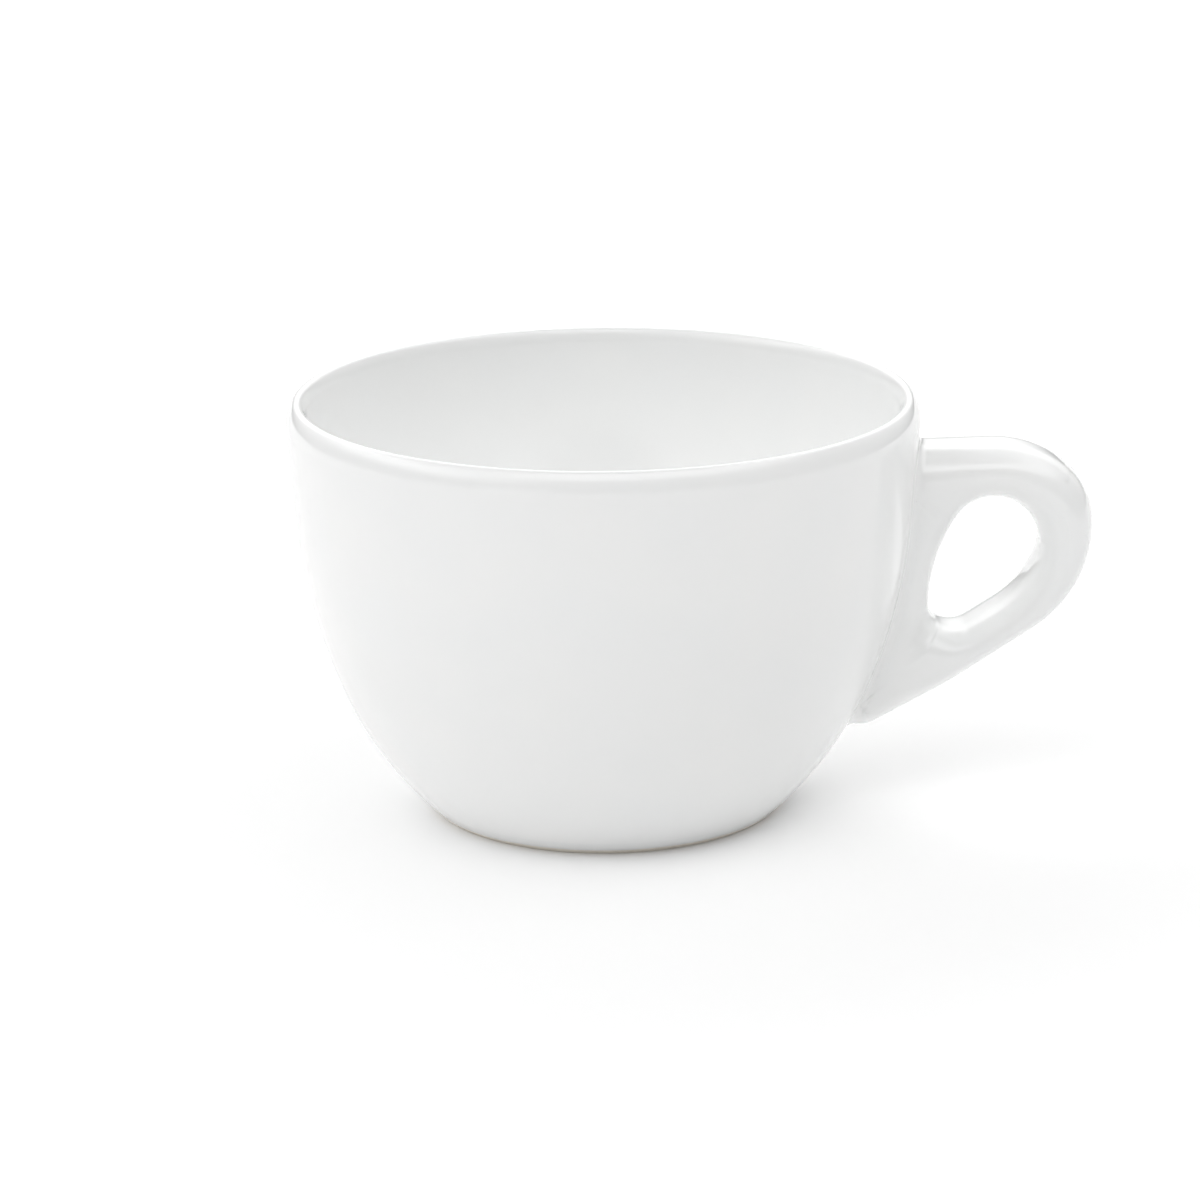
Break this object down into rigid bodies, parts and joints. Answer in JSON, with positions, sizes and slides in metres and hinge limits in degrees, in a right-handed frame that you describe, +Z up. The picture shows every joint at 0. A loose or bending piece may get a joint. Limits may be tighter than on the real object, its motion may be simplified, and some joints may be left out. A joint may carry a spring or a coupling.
{
  "type": "cappuccino cup",
  "caption": "Low, wide porcelain cup with a rounded lip, a bowl that tapers to a plain foot ring, and a pierced ear handle at one side.",
  "frame": {"origin": "on the bowl's axis at the table, in the plane of the foot ring's standing face", "axes": "+Z up along the bowl's axis, +X towards the handle, so the handle's middle plane is XZ"},
  "size_m": [0.1115, 0.0876, 0.0586],
  "materials": {
    "glaze": "glossy clear glaze over white porcelain",
    "biscuit": "unglazed, polished standing edge"
  },
  "bodies": {
    "root": {"bowl": "glaze", "foot_ring": "biscuit", "luting_slip": "glaze", "handle": "glaze"}
  },
  "joints": []
}
